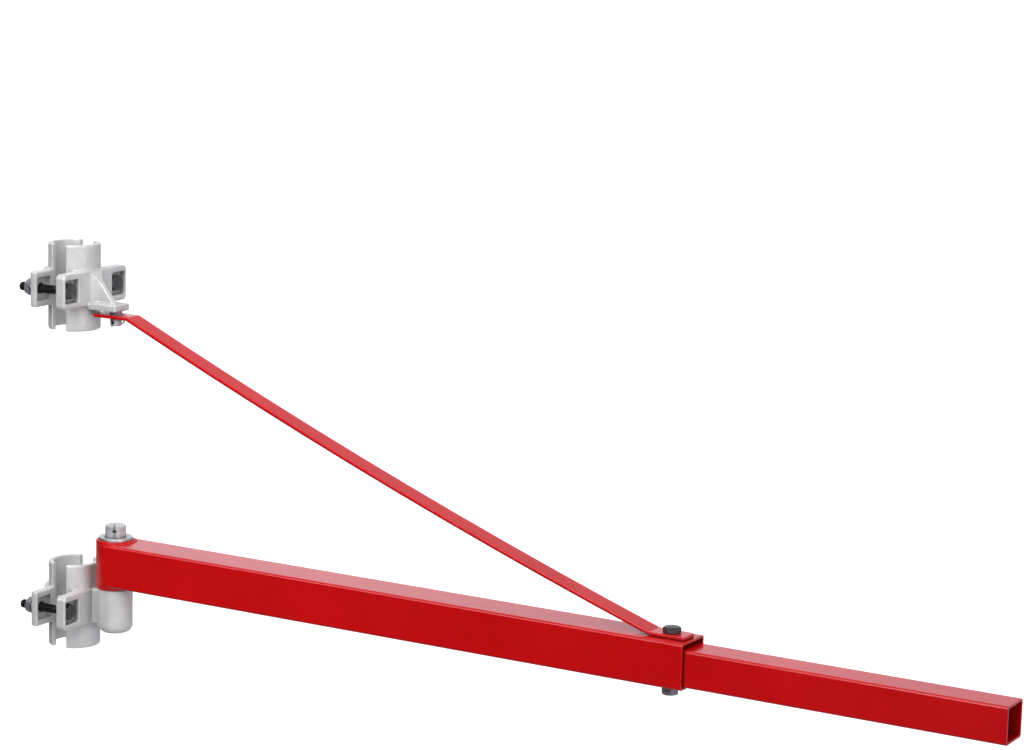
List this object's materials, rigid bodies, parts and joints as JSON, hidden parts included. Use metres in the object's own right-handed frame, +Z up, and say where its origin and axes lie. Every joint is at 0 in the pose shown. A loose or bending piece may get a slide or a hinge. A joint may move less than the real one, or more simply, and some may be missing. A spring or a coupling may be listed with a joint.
{
  "type": "hoist jib arm",
  "caption": "Telescopic square-tube hoist arm that swings on a post, held by split clamps on an upright pole, with a flat tie strap from the upper clamp to the arm.",
  "frame": {"origin": "on the pole's axis, at mid-height of the lower clamp", "axes": "+Z up along the pole, +X along the arm from the pole to the tip, +Y to the arm's left"},
  "size_m": [1.2075, 0.116, 0.475],
  "materials": {
    "red_paint": "gloss red paint",
    "cast_grey": "satin galvanised casting",
    "polished_steel": "turned bright",
    "black_steel": "black oxide",
    "zinc": "zinc plated"
  },
  "bodies": {
    "clamps": {"lower_clamp_front": "cast_grey", "lower_clamp_back": "cast_grey", "upper_clamp_front": "cast_grey", "upper_clamp_back": "cast_grey", "pivot_post": "polished_steel", "strap_pin": "polished_steel", "pivot_washer": "zinc", "pivot_cotter": "zinc", "strap_cotter": "zinc", "lower_right_bolt": "black_steel", "lower_right_spring_washer": "black_steel", "lower_right_washer": "zinc", "lower_right_nut": "zinc", "lower_left_bolt": "black_steel", "lower_left_spring_washer": "black_steel", "lower_left_washer": "zinc", "lower_left_nut": "zinc", "upper_right_bolt": "black_steel", "upper_right_spring_washer": "black_steel", "upper_right_washer": "zinc", "upper_right_nut": "zinc", "upper_left_bolt": "black_steel", "upper_left_spring_washer": "black_steel", "upper_left_washer": "zinc", "upper_left_nut": "zinc"},
    "arm": {"arm_tube": "red_paint", "arm_eye": "red_paint", "eye_weld": "red_paint", "extension_tube": "red_paint", "tie_strap": "red_paint", "tie_bolt": "black_steel", "tie_washer": "zinc", "tie_spring_washer": "black_steel", "tie_nut": "zinc", "stop_bolt": "black_steel", "stop_nut": "zinc"}
  },
  "joints": [
    {"name": "arm_swivel", "type": "hinge", "parent": "clamps", "child": "arm", "pos_m": [0.06, 0, 0.05475], "axis": [0, 0, 1], "range_deg": [-90, 90]}
  ]
}
